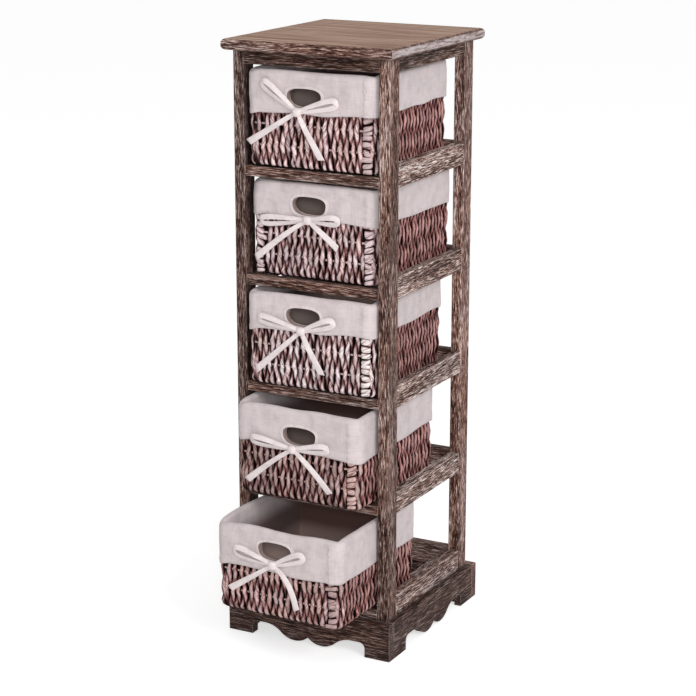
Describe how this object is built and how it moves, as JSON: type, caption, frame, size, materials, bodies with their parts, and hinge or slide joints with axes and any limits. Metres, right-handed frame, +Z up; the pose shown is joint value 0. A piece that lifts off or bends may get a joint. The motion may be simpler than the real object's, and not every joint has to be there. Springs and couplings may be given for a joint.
{
  "type": "basket shelf unit",
  "caption": "Slim free-standing bathroom shelf of wire-brushed dark wood with a scalloped plinth and pull-out woven baskets, each lined with a cotton cuff tied by a ribbon bow.",
  "frame": {"origin": "on the floor, under the middle of the wooden frame", "axes": "+Z up, +X to the right of a user who faces the baskets, -Y towards that user"},
  "size_m": [0.25, 0.3614, 0.82],
  "materials": {
    "wood": "dark brown stain, wire-brushed and limed, matt",
    "dowel_wood": "bare beech",
    "wicker": "twisted maize-leaf rope, stained lilac brown",
    "steel_wire": "drawn wire",
    "cotton": "plain-woven cotton, off-white",
    "ribbon": "cotton tape, off-white"
  },
  "bodies": {
    "frame": {"top_panel": "wood", "front_left_post": "wood", "front_right_post": "wood", "rear_left_post": "wood", "rear_right_post": "wood", "front_apron": "wood", "plinth_front": "wood", "front_rail_1": "wood", "front_rail_2": "wood", "front_rail_3": "wood", "front_rail_4": "wood", "front_rail_5": "wood", "rear_apron": "wood", "plinth_rear": "wood", "rear_rail_1": "wood", "rear_rail_2": "wood", "rear_rail_3": "wood", "rear_rail_4": "wood", "rear_rail_5": "wood", "left_apron": "wood", "plinth_left": "wood", "left_rail_1": "wood", "left_rail_2": "wood", "left_rail_3": "wood", "left_rail_4": "wood", "left_rail_5": "wood", "right_apron": "wood", "plinth_right": "wood", "right_rail_1": "wood", "right_rail_2": "wood", "right_rail_3": "wood", "right_rail_4": "wood", "right_rail_5": "wood", "runners_1": "wood", "runners_2": "wood", "runners_3": "wood", "runners_4": "wood", "runners_5": "wood", "dowels": "dowel_wood"},
    "basket_unit_1": {"basket_1": "wicker", "rim_hoop_1": "steel_wire", "liner_1": "cotton", "bow_1": "ribbon"},
    "basket_unit_2": {"basket_2": "wicker", "rim_hoop_2": "steel_wire", "liner_2": "cotton", "bow_2": "ribbon"},
    "basket_unit_3": {"basket_3": "wicker", "rim_hoop_3": "steel_wire", "liner_3": "cotton", "bow_3": "ribbon"},
    "basket_unit_4": {"basket_4": "wicker", "rim_hoop_4": "steel_wire", "liner_4": "cotton", "bow_4": "ribbon"},
    "basket_unit_5": {"basket_5": "wicker", "rim_hoop_5": "steel_wire", "liner_5": "cotton", "bow_5": "ribbon"}
  },
  "joints": [
    {"name": "basket_1_slide", "type": "slide", "parent": "frame", "child": "basket_unit_1", "axis": [0, -1, 0], "range_m": [-0.009, 0.191]},
    {"name": "basket_2_slide", "type": "slide", "parent": "frame", "child": "basket_unit_2", "axis": [0, -1, 0], "range_m": [-0.001, 0.199]},
    {"name": "basket_3_slide", "type": "slide", "parent": "frame", "child": "basket_unit_3", "axis": [0, -1, 0], "range_m": [-0.017, 0.183]},
    {"name": "basket_4_slide", "type": "slide", "parent": "frame", "child": "basket_unit_4", "axis": [0, -1, 0], "range_m": [-0.045, 0.155]},
    {"name": "basket_5_slide", "type": "slide", "parent": "frame", "child": "basket_unit_5", "axis": [0, -1, 0], "range_m": [-0.102, 0.098]}
  ]
}
